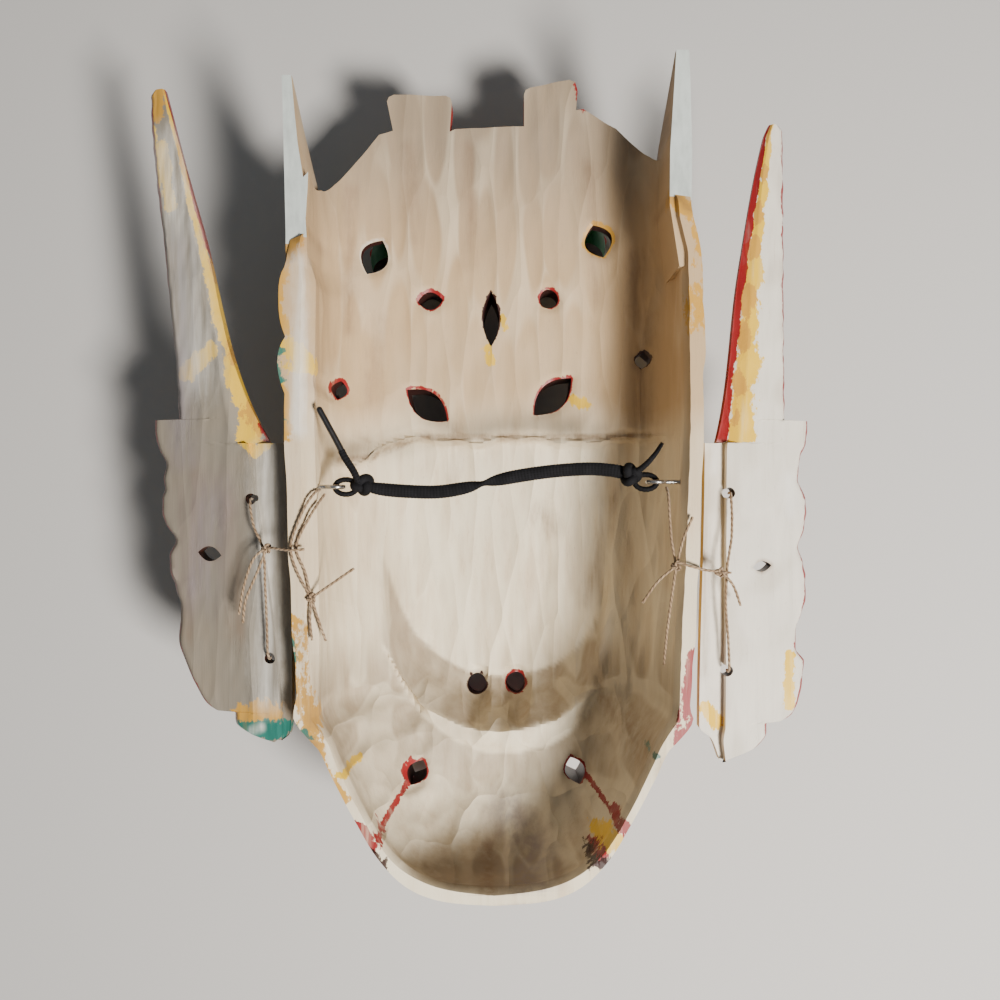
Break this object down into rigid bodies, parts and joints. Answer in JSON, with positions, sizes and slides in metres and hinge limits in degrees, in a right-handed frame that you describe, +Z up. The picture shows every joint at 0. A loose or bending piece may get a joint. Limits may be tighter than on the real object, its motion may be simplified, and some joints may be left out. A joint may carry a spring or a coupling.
{
  "type": "garuda mask",
  "caption": "Hollow carved wooden bird mask with crown horns, lashed ear panels and a hanging lace, lying on its face.",
  "frame": {"origin": "under the middle of the box of the body and its panels, on the surface that the mask lies on", "axes": "+Z up, towards the wearer's side; +Y towards the crown; +X to the right as seen from behind"},
  "size_m": [0.3146, 0.3931, 0.117],
  "materials": {
    "carved_wood": "bare, hand gouged, with painted front and edges",
    "panel_wood": "bare behind, painted front and edges",
    "steel_wire": "bright, slightly dulled",
    "black_braid": "braided, matt",
    "twine_fibre": "twisted, hairy"
  },
  "bodies": {
    "root": {"mask_body": "carved_wood", "left_ear_panel": "panel_wood", "right_ear_panel": "panel_wood", "left_screw_eye": "steel_wire", "right_screw_eye": "steel_wire", "hanging_lace": "black_braid", "left_body_twine": "twine_fibre", "right_body_twine": "twine_fibre", "left_panel_twine": "twine_fibre", "right_panel_twine": "twine_fibre", "left_cross_tie": "twine_fibre", "right_cross_tie": "twine_fibre"}
  },
  "joints": []
}
